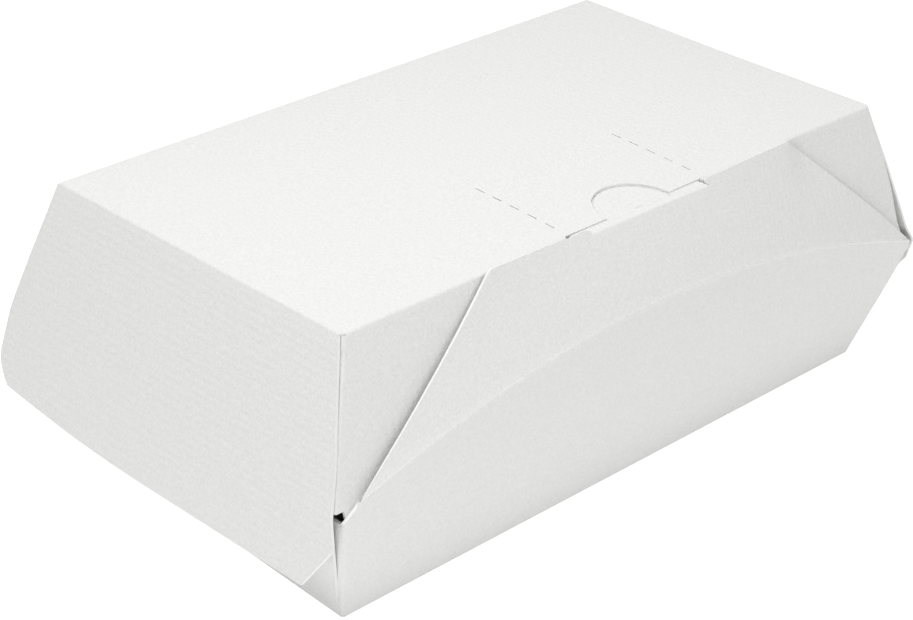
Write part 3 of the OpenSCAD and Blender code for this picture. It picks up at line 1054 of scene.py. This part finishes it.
def new_material(name):
    material = bpy.data.materials.new(name)
    material.use_nodes = True
    material.node_tree.nodes.clear()
    return material, material.node_tree


# The board's ribs show at their real pitch. Its fibres are much finer than a pixel, so the
# grain is drawn as coarse as it needs to show.
rib_pitch = 2.3 * MM
rib_depth = 0.045 * MM
rib_waver = 25 * MM
grain_wid = 0.75 * MM
grain_depth = 0.16 * MM


def make_board_material():
    """Bleached fine-fluted paperboard, uncoated: matt and white, with faint ribs from the wave
    under its liner and a fibrous, slightly mottled grain"""
    material, tree = new_material("bleached_fluted_paperboard")
    blank = add_node(tree, "ShaderNodeUVMap", uv_map="blank")
    # A wave texture of scale 1 repeats every 2 pi / 20
    ribs = add_node(tree, "ShaderNodeTexWave", {
        "Vector": blank.outputs["UV"],
        "Scale": 2 * pi / (20 * rib_pitch),
        "Distortion": 0.6,
        "Detail Scale": 1 / rib_waver,
    }, wave_type="BANDS", bands_direction="X")
    place = add_node(tree, "ShaderNodeTexCoord")
    grain = add_node(tree, "ShaderNodeTexNoise", {
        "Vector": place.outputs["Object"], "Scale": 1 / grain_wid, "Detail": 2, "Roughness": 0.7})
    rib_bump = add_node(tree, "ShaderNodeBump", {
        "Height": ribs.outputs["Fac"], "Distance": rib_depth, "Strength": 0.8})
    grain_bump = add_node(tree, "ShaderNodeBump", {
        "Height": grain.outputs["Fac"], "Distance": grain_depth, "Strength": 1,
        "Normal": rib_bump.outputs["Normal"]})
    tone = add_node(tree, "ShaderNodeMix", {
        "Factor": grain.outputs["Fac"], "A": linear("#E3E3E2"), "B": linear("#FCFCFB")},
        data_type="RGBA")
    shader = add_node(tree, "ShaderNodeBsdfPrincipled", {
        "Base Color": tone.outputs["Result"], "Roughness": 0.85, "Specular IOR Level": 0.3,
        "Normal": grain_bump.outputs["Normal"]})
    add_node(tree, "ShaderNodeOutputMaterial", {"Surface": shader.outputs["BSDF"]})
    return material


def make_edge_highlight_material():
    """Cut edge of the same board, painted paler than its faces so that it shows as a bright line: a
    painted highlight
    """
    material, tree = new_material("cut_edge_painted_highlight")
    # Painted highlight: the edge colour is paler than the board's faces
    shader = add_node(tree, "ShaderNodeBsdfPrincipled", {
        "Base Color": linear("#F8F8F7"), "Roughness": 0.9, "Specular IOR Level": 0.3})
    add_node(tree, "ShaderNodeOutputMaterial", {"Surface": shader.outputs["BSDF"]})
    return material


carton_piece = make_carton()
tear_piece = make_tear_flap()
board_material = make_board_material()
edge_highlight_material = make_edge_highlight_material()
for piece in (carton_piece, tear_piece):
    piece.data.materials.append(board_material)
    piece.data.materials.append(edge_highlight_material)


# Floor, light and background
floor_half = 3
floor_glow = 0.225
floor_glow_seen = 0.65
room_light = 0.465


def make_floor():
    """Matt white paper that glows a little: it keeps a soft shadow, shows white to the camera
    and lights the walls from below"""
    bm = bmesh.new()
    bmesh.ops.create_grid(bm, x_segments=1, y_segments=1, size=floor_half)
    mesh = bpy.data.meshes.new("floor")
    bm.to_mesh(mesh)
    bm.free()
    floor = bpy.data.objects.new("floor", mesh)
    bpy.context.collection.objects.link(floor)
    material, tree = new_material("white_studio_floor")
    path = add_node(tree, "ShaderNodeLightPath")
    paper = add_node(tree, "ShaderNodeBsdfDiffuse", {"Color": linear("#F7F7F7")})
    strength = add_node(tree, "ShaderNodeMix", {
        "Factor": path.outputs["Is Camera Ray"], "A": floor_glow, "B": floor_glow_seen},
        data_type="FLOAT")
    glow = add_node(tree, "ShaderNodeEmission", {
        "Color": linear("#FFFFFF"), "Strength": strength.outputs["Result"]})
    both = add_node(tree, "ShaderNodeAddShader")
    tree.links.new(paper.outputs["BSDF"], both.inputs[0])
    tree.links.new(glow.outputs["Emission"], both.inputs[1])
    add_node(tree, "ShaderNodeOutputMaterial", {"Surface": both.outputs["Shader"]})
    mesh.materials.append(material)


def make_world():
    """White to the camera, and a softer even light to everything else"""
    world = bpy.data.worlds.new("studio")
    bpy.context.scene.world = world
    world.use_nodes = True
    tree = world.node_tree
    tree.nodes.clear()
    path = add_node(tree, "ShaderNodeLightPath")
    room = add_node(tree, "ShaderNodeBackground", {"Color": linear("#FFFFFF"), "Strength": room_light})
    white = add_node(tree, "ShaderNodeBackground", {"Color": linear("#FFFFFF"), "Strength": 1})
    choose = add_node(tree, "ShaderNodeMixShader", {"Fac": path.outputs["Is Camera Ray"]})
    tree.links.new(room.outputs["Background"], choose.inputs[1])
    tree.links.new(white.outputs["Background"], choose.inputs[2])
    add_node(tree, "ShaderNodeOutputWorld", {"Surface": choose.outputs["Shader"]})


def add_softbox(name, place, size, power):
    """Square lamp aimed at the middle of the box, in metres and watts"""
    light = bpy.data.lights.new(name, "AREA")
    light.shape = "SQUARE"
    light.size = size
    light.energy = power
    lamp = bpy.data.objects.new(name, light)
    bpy.context.collection.objects.link(lamp)
    lamp.location = place
    lamp.rotation_euler = (Vector((0, 0, 0.05)) - Vector(place)).to_track_quat("-Z", "Y").to_euler()


make_floor()
make_world()
add_softbox("softbox_above", (-0.12, -0.06, 0.74), 0.35, 2.65)
add_softbox("softbox_left", (-0.42, -0.38, 0.28), 0.3, 0.26)


# Camera: fitted to the box's corners in the photograph, for an image of 913 x 620
camera_azimuth = radians(-45.4746)
camera_elevation = radians(28.1499)
camera_roll = radians(1.8259)
camera_distance = 709.915 * MM
camera_aside = Vector((-5.31, 2.3165)) * MM
camera_target = Vector((0, 0, 25.625)) * MM
focal_px = 2488.80556
image_wid = 913
sensor_wid = 36


def make_camera():
    back = Vector((sin(camera_azimuth) * cos(camera_elevation),
                   -cos(camera_azimuth) * cos(camera_elevation),
                   sin(camera_elevation)))
    level = Vector((cos(camera_azimuth), sin(camera_azimuth), 0))
    upright = back.cross(level)
    right = cos(camera_roll) * level + sin(camera_roll) * upright
    up = cos(camera_roll) * upright - sin(camera_roll) * level
    eye = camera_target + right * camera_aside.x + up * camera_aside.y + back * camera_distance
    data = bpy.data.cameras.new("photo_camera")
    data.sensor_fit = "HORIZONTAL"
    data.sensor_width = sensor_wid
    data.lens = sensor_wid * focal_px / image_wid
    data.clip_start = 0.01
    camera = bpy.data.objects.new("photo_camera", data)
    bpy.context.collection.objects.link(camera)
    camera.matrix_world = Matrix.Translation(eye) @ Matrix((right, up, back)).transposed().to_4x4()
    bpy.context.scene.camera = camera


make_camera()
bpy.context.scene.view_settings.view_transform = "Standard"
